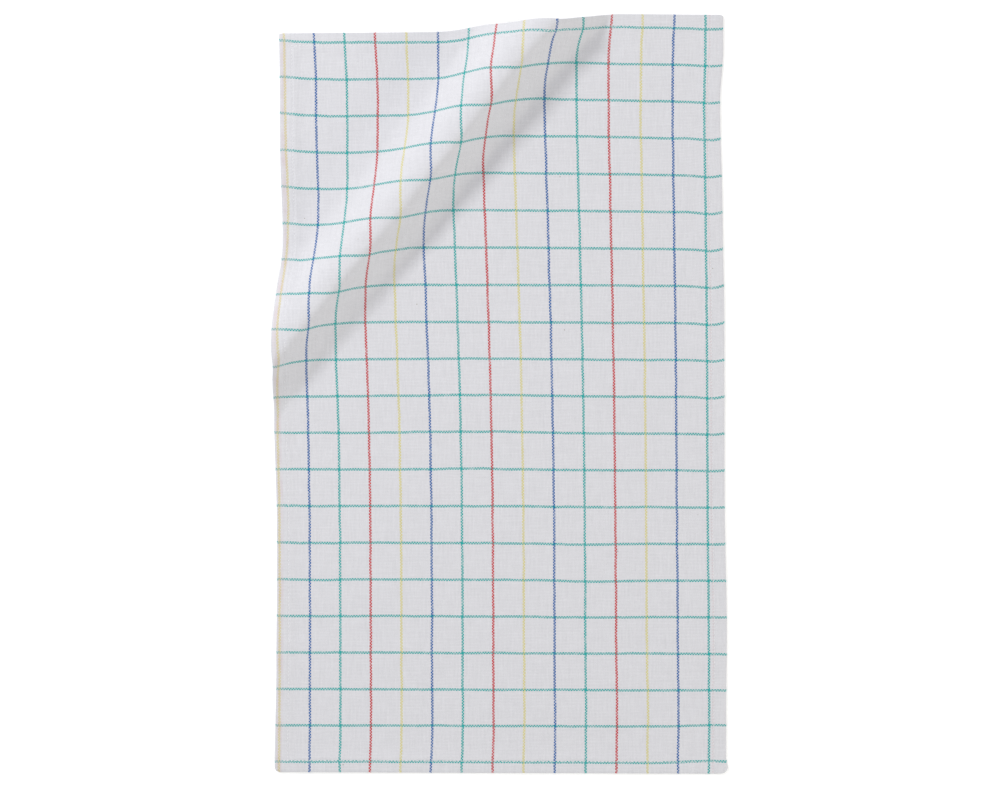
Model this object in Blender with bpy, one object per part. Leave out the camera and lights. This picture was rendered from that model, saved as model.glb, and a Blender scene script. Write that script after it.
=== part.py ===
"""Tea towel: one woven cotton rectangle with its own turned hems, lying flat on a surface.

One soft fold is raised across the upper-left part, along the diagonal of the cloth's check. It is
an open tunnel that runs out through the top edge and the left edge. Everything else lies flat.

Metres, +Z up. +Y runs along the towel's length and +X across its width. The origin is at the
middle of the underside, on the surface that the towel lies on.
"""

import math
from typing import NamedTuple

import bmesh
import bpy
import numpy as np

# Finished cloth, laid flat.
WIDTH = 0.4508
LENGTH = 0.7538
CLOTH_THICKNESS = 0.0012
HEM_WIDTH = 0.013
HEM_THICKNESS = 0.0020
HEM_SLOPE = 0.003
CORNER_RADIUS = 0.006

# The top hem is turned a little off the weave: its left end is lower and its right end higher.
TOP_HEM_SKEW = 0.0028

# The whole cloth lies slightly out of square.
LEAN_ACROSS = 0.0040
LEAN_ALONG = 0.0039

# The fold: its crest is a straight line at this angle from +X.
FOLD_ANGLE = math.radians(50.9)
CREST_FROM_CENTRE = 0.1981
HEIGHT_AT_TOP_EDGE = 0.0385
HEIGHT_AT_LEFT_EDGE = 0.0270
TOP_EDGE_STATION = 0.26
LEFT_EDGE_STATION = -0.14

# The corner behind the fold has moved in bodily, and the cloth in front is pulled towards the fold.
CORNER_MOVED = (0.0096, -0.0125)
PULL_FULL_AT = 0.332
PULL_ENDS_AT = -0.182
PULL_STARTS_IN_FRONT = 0.002
PULL_BLEND = 0.032
RIGHT_EDGE_HOLD = 0.317
RIGHT_EDGE_POWER = 1.07
PULL_LEFT_AT_RIGHT_EDGE = 0.26
TOP_HEM_HOLD = 0.60
TOP_HEM_HOLD_REACH = 0.022
EDGE_DRIFT_REACH = 0.060

# Grid: cells are small where the fold is, and long where the cloth is flat.
COLUMN_SPACING = 0.0080
FOLD_ROW_SPACING = 0.0076
FOLD_ROWS_END = 0.400
FLAT_ROW_SPACING = 0.045
PROFILE_POINTS = 801
FLAT_ANGLE = math.radians(0.05)


class Flank(NamedTuple):
    """One side of the fold: how far it reaches from the crest, and how late it turns down."""

    reach: float
    lateness: float


class EdgeStation(NamedTuple):
    """How far a side edge lies in from straight, at a distance down from the top hem."""

    down: float
    inset: float


BEHIND = Flank(reach=0.0545, lateness=1.17)
IN_FRONT = Flank(reach=0.0307, lateness=1.18)

LEFT_EDGE = [
    EdgeStation(down=0.0000, inset=-0.0015),
    EdgeStation(down=0.1100, inset=-0.0016),
    EdgeStation(down=0.2150, inset=0.0010),
    EdgeStation(down=0.2620, inset=-0.0028),
    EdgeStation(down=0.3200, inset=-0.0037),
    EdgeStation(down=0.3950, inset=0.0018),
    EdgeStation(down=0.5000, inset=0.0036),
    EdgeStation(down=0.5600, inset=0.0034),
    EdgeStation(down=0.6500, inset=0.0024),
    EdgeStation(down=0.7538, inset=0.0003),
]
RIGHT_EDGE = [
    EdgeStation(down=0.0000, inset=-0.0008),
    EdgeStation(down=0.0300, inset=-0.0008),
    EdgeStation(down=0.0880, inset=0.0026),
    EdgeStation(down=0.2000, inset=0.0005),
    EdgeStation(down=0.3000, inset=-0.0008),
    EdgeStation(down=0.4700, inset=-0.0004),
    EdgeStation(down=0.6100, inset=-0.0021),
    EdgeStation(down=0.7000, inset=-0.0011),
    EdgeStation(down=0.7538, inset=-0.0009),
]

CLOTH_COLOUR = (0.80, 0.80, 0.78, 1.0)
CLOTH_ROUGHNESS = 0.92

# Directions in the plane: across the fold towards the front, and along its crest towards the top.
ACROSS = (math.sin(FOLD_ANGLE), -math.cos(FOLD_ANGLE))
ALONG = (math.cos(FOLD_ANGLE), math.sin(FOLD_ANGLE))


def ease(value):
    """0 below 0 and 1 above 1, with a smooth step between them."""
    value = np.clip(value, 0.0, 1.0)
    return value * value * (3.0 - 2.0 * value)


def inset_at(edge, down):
    """The inset of a side edge at each distance down from the top hem, eased between stations."""
    total = np.full_like(down, edge[0].inset)
    for before, after in zip(edge, edge[1:]):
        total += (after.inset - before.inset) * ease((down - before.down) / (after.down - before.down))
    return total


def fold_profile(height):
    """Cloth length from the crest, distance over the surface and height, across the fold."""
    distance = np.linspace(-1.3 * BEHIND.reach, 1.3 * IN_FRONT.reach, PROFILE_POINTS)
    behind = np.clip(-distance / BEHIND.reach, 0.0, 1.0) ** BEHIND.lateness
    in_front = np.clip(distance / IN_FRONT.reach, 0.0, 1.0) ** IN_FRONT.lateness
    turn = np.where(distance < 0.0, behind, in_front)
    rise = height * 0.5 * (1.0 + np.cos(np.pi * turn))
    along_cloth = np.concatenate([[0.0], np.cumsum(np.hypot(np.diff(distance), np.diff(rise)))])
    along_cloth -= np.interp(0.0, distance, along_cloth)
    return along_cloth, distance, rise


def fold_position(from_crest, station):
    """Where cloth at a length from the crest lies: its shift across the fold, and its height.

    The shift is 0 behind the fold. In front it is minus the cloth that the fold takes up.
    """
    span = TOP_EDGE_STATION - LEFT_EDGE_STATION
    towards_left = np.clip((TOP_EDGE_STATION - station) / span, 0.0, 1.0)
    shift = np.zeros_like(from_crest)
    height = np.zeros_like(from_crest)
    ends = ((HEIGHT_AT_TOP_EDGE, 1.0 - towards_left), (HEIGHT_AT_LEFT_EDGE, towards_left))
    for crest_height, share in ends:
        along_cloth, distance, rise = fold_profile(crest_height)
        taken_up = along_cloth - distance
        start = taken_up[0]
        shift -= share * (np.interp(from_crest, along_cloth, taken_up) - start)
        height += share * np.interp(from_crest, along_cloth, rise)
    return shift, height


def lay(u, v):
    """Places the underside of cloth point u across and v along, both from the cloth's middle."""
    x = u - LEAN_ACROSS * v
    y = v - LEAN_ALONG * u
    from_crest = x * ACROSS[0] + y * ACROSS[1] + CREST_FROM_CENTRE
    station = x * ALONG[0] + y * ALONG[1]
    shift, height = fold_position(from_crest, station)
    pull_x = CORNER_MOVED[0] + shift * ACROSS[0]
    pull_y = CORNER_MOVED[1] + shift * ACROSS[1]
    in_front = ease((from_crest - PULL_STARTS_IN_FRONT) / PULL_BLEND)
    near_top = 1.0 - ease((PULL_FULL_AT - y) / (PULL_FULL_AT - PULL_ENDS_AT))
    from_right = np.clip((WIDTH / 2 - x) / RIGHT_EDGE_HOLD, 0.0, 1.0) ** RIGHT_EDGE_POWER
    down = LENGTH / 2 - v
    by_top_hem = TOP_HEM_HOLD * np.exp(-((down / TOP_HEM_HOLD_REACH) ** 2))
    held_x = from_right * (1.0 - by_top_hem)
    held_y = PULL_LEFT_AT_RIGHT_EDGE + (1.0 - PULL_LEFT_AT_RIGHT_EDGE) * from_right
    x = x + pull_x * (1.0 - in_front * (1.0 - near_top * held_x))
    y = y + pull_y * (1.0 - in_front * (1.0 - near_top * held_y))
    x = x + 0.5 * inset_at(LEFT_EDGE, down) * np.exp(-(u + WIDTH / 2) / EDGE_DRIFT_REACH)
    x = x - 0.5 * inset_at(RIGHT_EDGE, down) * np.exp(-(WIDTH / 2 - u) / EDGE_DRIFT_REACH)
    return np.stack([x, y, height], axis=-1)


def round_corners(from_side, from_end):
    """Moves points in each corner's square onto a quarter disc. Distances are from two edges."""
    across = np.clip(CORNER_RADIUS - from_side, 0.0, None)
    along = np.clip(CORNER_RADIUS - from_end, 0.0, None)
    longest = np.maximum(across, along)
    scale = np.divide(longest, np.hypot(across, along), out=np.ones_like(longest), where=longest > 0)
    return across * (1.0 - scale), along * (1.0 - scale)


def outline(across, down):
    """Cloth coordinates of a grid point, given its place in a plain WIDTH by LENGTH rectangle."""
    from_side = np.minimum(across, WIDTH - across)
    from_end = np.minimum(down, LENGTH - down)
    move_across, move_down = round_corners(from_side, from_end)
    u = across - WIDTH / 2 + np.where(across < WIDTH / 2, move_across, -move_across)
    v = LENGTH / 2 - down - np.where(down < LENGTH / 2, move_down, -move_down)
    half = across / WIDTH
    u = u + 0.5 * inset_at(LEFT_EDGE, down) * (1.0 - half) ** 8
    u = u - 0.5 * inset_at(RIGHT_EDGE, down) * half**8
    v = v - TOP_HEM_SKEW * (1.0 - 2.0 * half) * (1.0 - down / LENGTH) ** 8
    return u, v


def thickness_at(across, down):
    """The cloth is single inside, and its turned hem makes it thicker along every edge."""
    from_side = np.minimum(across, WIDTH - across)
    from_end = np.minimum(down, LENGTH - down)
    from_edge = np.minimum(from_side, from_end)
    hem = 1.0 - np.clip((from_edge - HEM_WIDTH) / HEM_SLOPE, 0.0, 1.0)
    return CLOTH_THICKNESS + (HEM_THICKNESS - CLOTH_THICKNESS) * hem


def even_stations(start, end, spacing):
    """Stations from start to end, as near to the spacing as a whole number of steps allows."""
    steps = max(1, round((end - start) / spacing))
    return np.linspace(start, end, steps + 1)


def grid_stations():
    """Distances across the width and down the length at which the grid has its lines."""
    hem = [0.0, HEM_WIDTH]
    inner = HEM_WIDTH + HEM_SLOPE
    middle = even_stations(inner, WIDTH - inner, COLUMN_SPACING)
    across = np.concatenate([hem, middle, [WIDTH - HEM_WIDTH, WIDTH]])
    folded = even_stations(inner, FOLD_ROWS_END, FOLD_ROW_SPACING)
    flat = even_stations(FOLD_ROWS_END, LENGTH - inner, FLAT_ROW_SPACING)
    down = np.concatenate([hem, folded, flat[1:], [LENGTH - HEM_WIDTH, LENGTH]])
    return across, down


def normals_of(points):
    """Unit normals of a grid of points, from the directions of its rows and columns."""
    normals = np.cross(np.gradient(points, axis=1), -np.gradient(points, axis=0))
    return normals / np.linalg.norm(normals, axis=-1, keepdims=True)


def sheet_points():
    """The underside and the upper side of the cloth, as grids of points."""
    across, down = np.meshgrid(*grid_stations())
    underside = lay(*outline(across, down))
    upper = underside + thickness_at(across, down)[..., None] * normals_of(underside)
    both = np.concatenate([underside.reshape(-1, 3), upper.reshape(-1, 3)])
    middle = (both.min(axis=0) + both.max(axis=0)) / 2
    middle[2] = 0.0
    return underside - middle, upper - middle


def sheet_mesh(underside, upper):
    """A closed mesh between the two sides, with its flat stretches joined into large faces."""
    mesh = bmesh.new()
    rows, columns = underside.shape[:2]
    low = [[mesh.verts.new(point) for point in row] for row in underside]
    high = [[mesh.verts.new(point) for point in row] for row in upper]
    for r in range(rows - 1):
        for c in range(columns - 1):
            mesh.faces.new((low[r][c], low[r][c + 1], low[r + 1][c + 1], low[r + 1][c]))
            mesh.faces.new((high[r][c], high[r + 1][c], high[r + 1][c + 1], high[r][c + 1]))
    rim = [(0, c) for c in range(columns)]
    rim += [(r, columns - 1) for r in range(1, rows)]
    rim += [(rows - 1, c) for c in range(columns - 2, -1, -1)]
    rim += [(r, 0) for r in range(rows - 2, 0, -1)]
    for (r, c), (next_r, next_c) in zip(rim, rim[1:] + rim[:1]):
        mesh.faces.new((low[next_r][next_c], low[r][c], high[r][c], high[next_r][next_c]))
    bmesh.ops.dissolve_limit(mesh, angle_limit=FLAT_ANGLE, verts=mesh.verts, edges=mesh.edges)
    bmesh.ops.triangulate(mesh, faces=mesh.faces)
    bmesh.ops.recalc_face_normals(mesh, faces=mesh.faces)
    return mesh


def cloth_material():
    """Off-white woven cotton."""
    material = bpy.data.materials.new("cloth")
    material.use_nodes = True
    shader = material.node_tree.nodes["Principled BSDF"]
    shader.inputs["Base Color"].default_value = CLOTH_COLOUR
    shader.inputs["Roughness"].default_value = CLOTH_ROUGHNESS
    shader.inputs["Metallic"].default_value = 0.0
    return material


def build_cloth():
    """The towel's one piece: the cloth with its hems."""
    mesh = sheet_mesh(*sheet_points())
    data = bpy.data.meshes.new("cloth")
    mesh.to_mesh(data)
    mesh.free()
    data.shade_smooth()
    data.set_sharp_from_angle(angle=math.radians(40.0))
    data.materials.append(cloth_material())
    cloth = bpy.data.objects.new("cloth", data)
    bpy.context.scene.collection.objects.link(cloth)
    return cloth


def clear_scene():
    """Removes every object, so that the towel stands alone."""
    for obj in list(bpy.data.objects):
        bpy.data.objects.remove(obj, do_unlink=True)


clear_scene()
build_cloth()
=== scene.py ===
"""Looks of a woven cotton tea towel, lying flat with one soft fold raised across a corner.

The cloth is one closed sheet with its hems turned twice to the back. The hem stitching is a second
piece, in which all the stitches are joined. Metres, +Z up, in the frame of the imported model: +Y
runs along the towel.
"""

import logging
import math
from dataclasses import dataclass, field
from enum import Enum

import bpy
import numpy as np
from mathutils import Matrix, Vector, noise


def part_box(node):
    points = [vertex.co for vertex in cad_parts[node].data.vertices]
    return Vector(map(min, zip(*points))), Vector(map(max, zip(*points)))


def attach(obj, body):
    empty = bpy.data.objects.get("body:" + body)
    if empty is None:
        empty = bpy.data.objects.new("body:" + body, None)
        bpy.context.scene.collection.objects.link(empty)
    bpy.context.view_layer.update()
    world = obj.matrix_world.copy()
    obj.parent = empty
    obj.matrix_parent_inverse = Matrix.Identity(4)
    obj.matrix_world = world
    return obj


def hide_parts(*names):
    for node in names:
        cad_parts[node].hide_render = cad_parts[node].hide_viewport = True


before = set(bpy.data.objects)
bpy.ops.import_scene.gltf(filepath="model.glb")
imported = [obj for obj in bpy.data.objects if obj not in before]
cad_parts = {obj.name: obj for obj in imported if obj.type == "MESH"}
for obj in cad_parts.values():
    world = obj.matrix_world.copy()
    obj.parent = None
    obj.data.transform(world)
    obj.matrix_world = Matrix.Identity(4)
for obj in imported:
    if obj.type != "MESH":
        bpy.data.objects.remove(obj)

LOG = logging.getLogger("tea_towel")
CLOTH_NODE = "cloth"
BODY = "root"
WHITE = (1.0, 1.0, 1.0, 1.0)

Array = np.ndarray
Colour = tuple[float, float, float, float]
Node = bpy.types.Node
Socket = bpy.types.NodeSocket


class Side(Enum):
    """The towel's four hemmed edges."""

    LEFT = "left"
    RIGHT = "right"
    TOP = "top"
    BOTTOM = "bottom"

    @property
    def is_end(self) -> bool:
        """Whether this edge runs across the towel."""
        return self in (Side.TOP, Side.BOTTOM)


class Face(Enum):
    """The two faces of the cloth."""

    RIGHT_SIDE = "right side"
    BACK = "back"

    @property
    def other(self) -> "Face":
        """The face on the cloth's other side."""
        return Face.BACK if self is Face.RIGHT_SIDE else Face.RIGHT_SIDE


def ease(value: Array) -> Array:
    """Gives a smooth step from 0 to 1.

    Args:
        value: where each point is along the step, 0 at its start and 1 at its end.

    Returns:
        The step's height at each point, held at 0 before it and 1 after it.
    """
    value = np.clip(value, 0.0, 1.0)
    return value * value * (3.0 - 2.0 * value)


def bell(value: Array) -> Array:
    """A soft bump of height 1 at 0, which is nearly gone at 2."""
    return np.exp(-value * value)


# --------------------------------------------------------------------------- how the cloth lies


@dataclass(frozen=True)
class Flank:
    """One side of the fold: how far it reaches from the crest, and how late it turns down."""

    reach: float
    lateness: float


@dataclass(frozen=True)
class EdgeStation:
    """How far a side edge lies in from straight, at a distance down from the top hem."""

    down: float
    inset: float


@dataclass(frozen=True)
class Fold:
    """The raised fold: a straight crest with an open tunnel under it."""

    angle: float = math.radians(50.9)
    crest_from_centre: float = 0.1981
    height_at_top_edge: float = 0.0385
    height_at_left_edge: float = 0.0270
    top_edge_station: float = 0.26
    left_edge_station: float = -0.14
    behind: Flank = Flank(reach=0.0545, lateness=1.17)
    in_front: Flank = Flank(reach=0.0307, lateness=1.02)
    bend_at_left_edge: float = 0.0075
    bend_starts: float = 0.22
    bend_ends: float = -0.15
    bend_fades_over: float = 0.050
    toe_height: float = 0.0046
    toe_from_crest: float = 0.0470
    toe_width: float = 0.0190
    profile_points: int = 801
    profile_behind: float = 1.6
    profile_in_front: float = 1.3

    @property
    def across(self) -> tuple[float, float]:
        """The direction across the fold, from behind it to its front."""
        return math.sin(self.angle), -math.cos(self.angle)

    @property
    def along(self) -> tuple[float, float]:
        """The direction along the crest, towards the top edge."""
        return math.cos(self.angle), math.sin(self.angle)

    def profile(self, height: float) -> tuple[Array, Array, Array]:
        """Works out the curve of the cloth across the fold.

        Args:
            height: height of the crest.

        Returns:
            Cloth length from the crest, distance over the surface, and height, at each station.
        """
        start = -self.profile_behind * self.behind.reach
        end = self.profile_in_front * self.in_front.reach
        distance = np.linspace(start, end, self.profile_points)
        behind = np.clip(-distance / self.behind.reach, 0.0, 1.0) ** self.behind.lateness
        in_front = np.clip(distance / self.in_front.reach, 0.0, 1.0) ** self.in_front.lateness
        turn = np.where(distance < 0.0, behind, in_front)
        rise = height * 0.5 * (1.0 + np.cos(np.pi * turn))
        rise = rise + self.toe_height * bell((distance + self.toe_from_crest) / self.toe_width)
        steps = np.hypot(np.diff(distance), np.diff(rise))
        along_cloth = np.concatenate([[0.0], np.cumsum(steps)])
        along_cloth -= np.interp(0.0, distance, along_cloth)
        return along_cloth, distance, rise

    def position(self, from_crest: Array, station: Array) -> tuple[Array, Array]:
        """Finds where cloth at a length from the crest lies.

        Args:
            from_crest: cloth length from the crest, positive in front.
            station: place along the crest.

        Returns:
            The shift across the fold, which is minus the cloth taken up, and the height.
        """
        span = self.top_edge_station - self.left_edge_station
        towards_left = np.clip((self.top_edge_station - station) / span, 0.0, 1.0)
        shift = np.zeros_like(from_crest)
        height = np.zeros_like(from_crest)
        at_top = (self.height_at_top_edge, 1.0 - towards_left)
        at_left = (self.height_at_left_edge, towards_left)
        for crest_height, share in (at_top, at_left):
            along_cloth, distance, rise = self.profile(crest_height)
            taken_up = along_cloth - distance
            used = np.interp(from_crest, along_cloth, taken_up) - taken_up[0]
            shift -= share * used
            height += share * np.interp(from_crest, along_cloth, rise)
        return shift, height


@dataclass(frozen=True)
class Pull:
    """How the cloth round the fold has moved in its own plane.

    The corner behind the fold has moved bodily. In front, the movement fades towards the right
    edge and the lower end, and the top hem holds some of it back.
    """

    corner_moved: tuple[float, float] = (0.0096, -0.0125)
    full_at: float = 0.332
    ends_at: float = -0.182
    starts_in_front: float = 0.002
    blend: float = 0.032
    right_edge_hold: float = 0.317
    right_edge_power: float = 1.07
    left_at_right_edge: float = 0.26
    top_hem_hold: float = 0.60
    top_hem_reach: float = 0.022


LEFT_EDGE = (
    EdgeStation(down=0.0000, inset=-0.0015),
    EdgeStation(down=0.1100, inset=-0.0016),
    EdgeStation(down=0.2150, inset=0.0010),
    EdgeStation(down=0.2620, inset=-0.0028),
    EdgeStation(down=0.3200, inset=-0.0037),
    EdgeStation(down=0.3950, inset=0.0018),
    EdgeStation(down=0.5000, inset=0.0036),
    EdgeStation(down=0.5600, inset=0.0034),
    EdgeStation(down=0.6500, inset=0.0024),
    EdgeStation(down=0.7538, inset=0.0003),
)
RIGHT_EDGE = (
    EdgeStation(down=0.0000, inset=-0.0008),
    EdgeStation(down=0.0300, inset=-0.0008),
    EdgeStation(down=0.0880, inset=0.0026),
    EdgeStation(down=0.2000, inset=0.0005),
    EdgeStation(down=0.3000, inset=-0.0008),
    EdgeStation(down=0.4700, inset=-0.0004),
    EdgeStation(down=0.6100, inset=-0.0021),
    EdgeStation(down=0.7000, inset=-0.0011),
    EdgeStation(down=0.7538, inset=-0.0009),
)


@dataclass(frozen=True)
class Sway:
    """A small soft shift of the cloth, or only of its yarns, round one place in it."""

    middle: tuple[float, float]
    reach: tuple[float, float]
    shift: tuple[float, float]

    def at(self, u: Array, v: Array) -> tuple[Array, Array]:
        """Gives the shift.

        Args:
            u: cloth coordinate across.
            v: cloth coordinate along.

        Returns:
            How far each point moves across and along.
        """
        near = bell((u - self.middle[0]) / self.reach[0]) * bell((v - self.middle[1]) / self.reach[1])
        return self.shift[0] * near, self.shift[1] * near


# Where the cloth itself lies a little off: round the fold at the top hem, and at the last corner.
CLOTH_SWAYS = (
    Sway(middle=(-0.022, 0.377), reach=(0.025, 0.030), shift=(0.0000, 0.0044)),
    Sway(middle=(0.085, 0.377), reach=(0.024, 0.018), shift=(0.0000, -0.0020)),
    Sway(middle=(-0.140, 0.377), reach=(0.075, 0.036), shift=(-0.0026, 0.0000)),
    Sway(middle=(0.055, 0.377), reach=(0.032, 0.030), shift=(0.0036, 0.0000)),
    Sway(middle=(0.226, -0.371), reach=(0.006, 0.006), shift=(0.0018, 0.0000)),
)
# Where the yarns run unevenly in a cloth that lies where it should.
YARN_SWAYS = (
    Sway(middle=(-0.226, 0.240), reach=(0.016, 0.190), shift=(0.0000, 0.0022)),
    Sway(middle=(-0.165, 0.230), reach=(0.026, 0.190), shift=(0.0000, -0.0008)),
    Sway(middle=(0.213, 0.130), reach=(0.013, 0.200), shift=(0.0000, -0.0017)),
    Sway(middle=(0.228, 0.130), reach=(0.007, 0.200), shift=(0.0000, 0.0018)),
    Sway(middle=(-0.215, 0.205), reach=(0.050, 0.050), shift=(0.0020, 0.0000)),
    Sway(middle=(-0.020, -0.030), reach=(0.075, 0.070), shift=(0.0000, 0.0016)),
    Sway(middle=(0.090, -0.180), reach=(0.045, 0.060), shift=(0.0000, -0.0014)),
    Sway(middle=(-0.180, -0.180), reach=(0.030, 0.060), shift=(0.0000, -0.0008)),
    Sway(middle=(0.000, -0.366), reach=(0.300, 0.040), shift=(0.0000, 0.0011)),
    Sway(middle=(0.215, -0.350), reach=(0.034, 0.040), shift=(0.0000, 0.0024)),
    Sway(middle=(-0.060, -0.372), reach=(0.110, 0.022), shift=(-0.0015, 0.0000)),
    Sway(middle=(0.150, -0.310), reach=(0.070, 0.035), shift=(0.0009, 0.0000)),
)


def swayed(sways: tuple[Sway, ...], u: Array, v: Array) -> tuple[Array, Array]:
    """Adds up soft shifts.

    Args:
        sways: the shifts.
        u: cloth coordinate across.
        v: cloth coordinate along.

    Returns:
        How far each point moves across and along in all.
    """
    shifts = [sway.at(u, v) for sway in sways]
    return sum(across for across, _ in shifts), sum(along for _, along in shifts)


@dataclass(frozen=True)
class Corners:
    """How round each corner of the towel is."""

    top_left: float = 0.0020
    top_right: float = 0.0024
    bottom_left: float = 0.0052
    bottom_right: float = 0.0060


@dataclass(frozen=True)
class Lay:
    """The finished towel's flat size, and how it lies on the surface.

    Panel coordinates are across and down a plain rectangle from its upper left corner. Cloth
    coordinates u and v follow the yarns, from the middle of the towel, with v up its length. One
    share of a side edge's inset is in its cut, and the rest is drift of the cloth beside it.
    """

    width: float = 0.4508
    length: float = 0.7538
    corners: Corners = Corners()
    top_hem_skew: float = 0.0028
    lean_across: float = 0.0040
    lean_along: float = 0.0039
    edge_drift_reach: float = 0.060
    edge_power: int = 8
    inset_share: float = 0.5
    fold: Fold = field(default_factory=Fold)
    pull: Pull = field(default_factory=Pull)

    @staticmethod
    def inset(edge: tuple[EdgeStation, ...], down: Array) -> Array:
        """Eases between an edge's stations.

        Args:
            edge: the stations of one side edge, from the top hem down.
            down: distances down from the top hem.

        Returns:
            The inset of the edge at each distance.
        """
        total = np.full_like(down, edge[0].inset)
        for before, after in zip(edge, edge[1:]):
            step = (down - before.down) / (after.down - before.down)
            total += (after.inset - before.inset) * ease(step)
        return total

    @staticmethod
    def rounded(from_side: Array, from_end: Array, radius: Array) -> tuple[Array, Array]:
        """Moves points in each corner's square onto a quarter disc.

        Args:
            from_side: distance from the nearer side edge.
            from_end: distance from the nearer end edge.
            radius: radius of the nearest corner.

        Returns:
            How far each point moves inwards, across and along.
        """
        across = np.clip(radius - from_side, 0.0, None)
        along = np.clip(radius - from_end, 0.0, None)
        longest = np.maximum(across, along)
        ones = np.ones_like(longest)
        scale = np.divide(longest, np.hypot(across, along), out=ones, where=longest > 0)
        return across * (1.0 - scale), along * (1.0 - scale)

    def cloth(self, across: Array, down: Array) -> tuple[Array, Array]:
        """Turns panel coordinates into cloth coordinates.

        Args:
            across: distance from the left edge.
            down: distance from the top edge.

        Returns:
            u and v along the yarns, from the towel's middle.
        """
        from_side = np.minimum(across, self.width - across)
        from_end = np.minimum(down, self.length - down)
        left_half = across < self.width / 2
        top_half = down < self.length / 2
        round_top = np.where(left_half, self.corners.top_left, self.corners.top_right)
        round_bottom = np.where(left_half, self.corners.bottom_left, self.corners.bottom_right)
        radius = np.where(top_half, round_top, round_bottom)
        move_across, move_down = self.rounded(from_side, from_end, radius)
        u = across - self.width / 2 + np.where(left_half, move_across, -move_across)
        v = self.length / 2 - down - np.where(top_half, move_down, -move_down)
        share = np.clip(across / self.width, 0.0, 1.0)
        near_top = (1.0 - np.clip(down / self.length, 0.0, 1.0)) ** self.edge_power
        cut = self.inset_share
        u = u + cut * self.inset(LEFT_EDGE, down) * (1.0 - share) ** self.edge_power
        u = u - cut * self.inset(RIGHT_EDGE, down) * share**self.edge_power
        v = v - self.top_hem_skew * (1.0 - 2.0 * share) * near_top
        return u, v

    def place(self, u: Array, v: Array) -> Array:
        """Lays the cloth down.

        Args:
            u: cloth coordinate across.
            v: cloth coordinate along.

        Returns:
            The position of each point of the cloth's underside, in the last axis.
        """
        pull, fold = self.pull, self.fold
        x = u - self.lean_across * v
        y = v - self.lean_along * u
        from_crest = x * fold.across[0] + y * fold.across[1] + fold.crest_from_centre
        station = x * fold.along[0] + y * fold.along[1]
        bend = ease((fold.bend_starts - station) / (fold.bend_starts - fold.bend_ends))
        bend = bend * (1.0 - ease(from_crest / fold.bend_fades_over))
        from_crest = from_crest + fold.bend_at_left_edge * bend
        shift, height = fold.position(from_crest, station)
        pull_x = pull.corner_moved[0] + shift * fold.across[0]
        pull_y = pull.corner_moved[1] + shift * fold.across[1]
        in_front = ease((from_crest - pull.starts_in_front) / pull.blend)
        near_top = 1.0 - ease((pull.full_at - y) / (pull.full_at - pull.ends_at))
        from_right = np.clip((self.width / 2 - x) / pull.right_edge_hold, 0.0, 1.0)
        from_right = from_right**pull.right_edge_power
        down = self.length / 2 - v
        held_x = from_right * (1.0 - pull.top_hem_hold * bell(down / pull.top_hem_reach))
        held_y = pull.left_at_right_edge + (1.0 - pull.left_at_right_edge) * from_right
        x = x + pull_x * (1.0 - in_front * (1.0 - near_top * held_x))
        y = y + pull_y * (1.0 - in_front * (1.0 - near_top * held_y))
        from_left = (u + self.width / 2) / self.edge_drift_reach
        to_right = (self.width / 2 - u) / self.edge_drift_reach
        drift = 1.0 - self.inset_share
        x = x + drift * self.inset(LEFT_EDGE, down) * np.exp(-from_left)
        x = x - drift * self.inset(RIGHT_EDGE, down) * np.exp(-to_right)
        sway_x, sway_y = swayed(CLOTH_SWAYS, u, v)
        return np.stack([x + sway_x, y + sway_y, height], axis=-1)


# ------------------------------------------------------------------- how the cloth stands proud


# How far in from each edge its row of stitches runs, at its left or top end and at the other.
STITCH_INSETS = {
    Side.TOP: (0.0132, 0.0114),
    Side.BOTTOM: (0.0116, 0.0118),
    Side.LEFT: (0.0124, 0.0126),
    Side.RIGHT: (0.0126, 0.0122),
}


@dataclass(frozen=True)
class Hem:
    """The double-turned hem and its row of stitches, by distance in from the edge.

    Where two hems cross at a corner, extra layers make it thicker. The hem is stiffer than the
    single cloth, so the cloth's relief is weaker there.
    """

    layer: float = 0.00058
    layers: int = 3
    width: float = 0.0143
    step: float = 0.0005
    lift_reach: float = 0.0048
    lift_power: float = 1.35
    edge_roll: float = 0.0009
    groove_depth: float = 0.00060
    groove_width: float = 0.0010
    groove_on_back: float = 0.5
    corner_layers: float = 0.8
    corner_size: float = 0.009
    corner_fades_over: float = 0.006
    corner_rises_over: float = 0.004
    relief_on_hem: float = 0.35
    stiff_fades_over: float = 0.006
    least_thickness: float = 0.6

    @property
    def thickness(self) -> float:
        """Thickness of the three layers together."""
        return self.layer * self.layers

    def stitch_inset(self, side: Side, share: Array | float) -> Array | float:
        """Finds the stitch row's distance in from an edge.

        Args:
            side: which edge.
            share: place along the edge, 0 at its left or top end and 1 at the other.

        Returns:
            The distance from the edge to the middle of the row.
        """
        start, end = STITCH_INSETS[side]
        return start + (end - start) * share

    def lift(self, inward: Array) -> Array:
        """Finds how far the single cloth stands off the surface, past the hem's inner fold.

        Args:
            inward: distance from the edge.

        Returns:
            The height of its underside at each point.
        """
        past = np.clip((inward - self.width) / self.lift_reach, 0.0, None)
        inside = (self.thickness - self.layer) * np.exp(-(past**self.lift_power))
        return inside * ease((inward - self.width) / self.step)

    def rolled(self, inward: Array) -> Array:
        """1 over the hem, falling to 0 at the edge itself in a round roll."""
        short = np.clip(1.0 - inward / self.edge_roll, 0.0, 1.0)
        return np.sqrt(1.0 - short * short)


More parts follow.
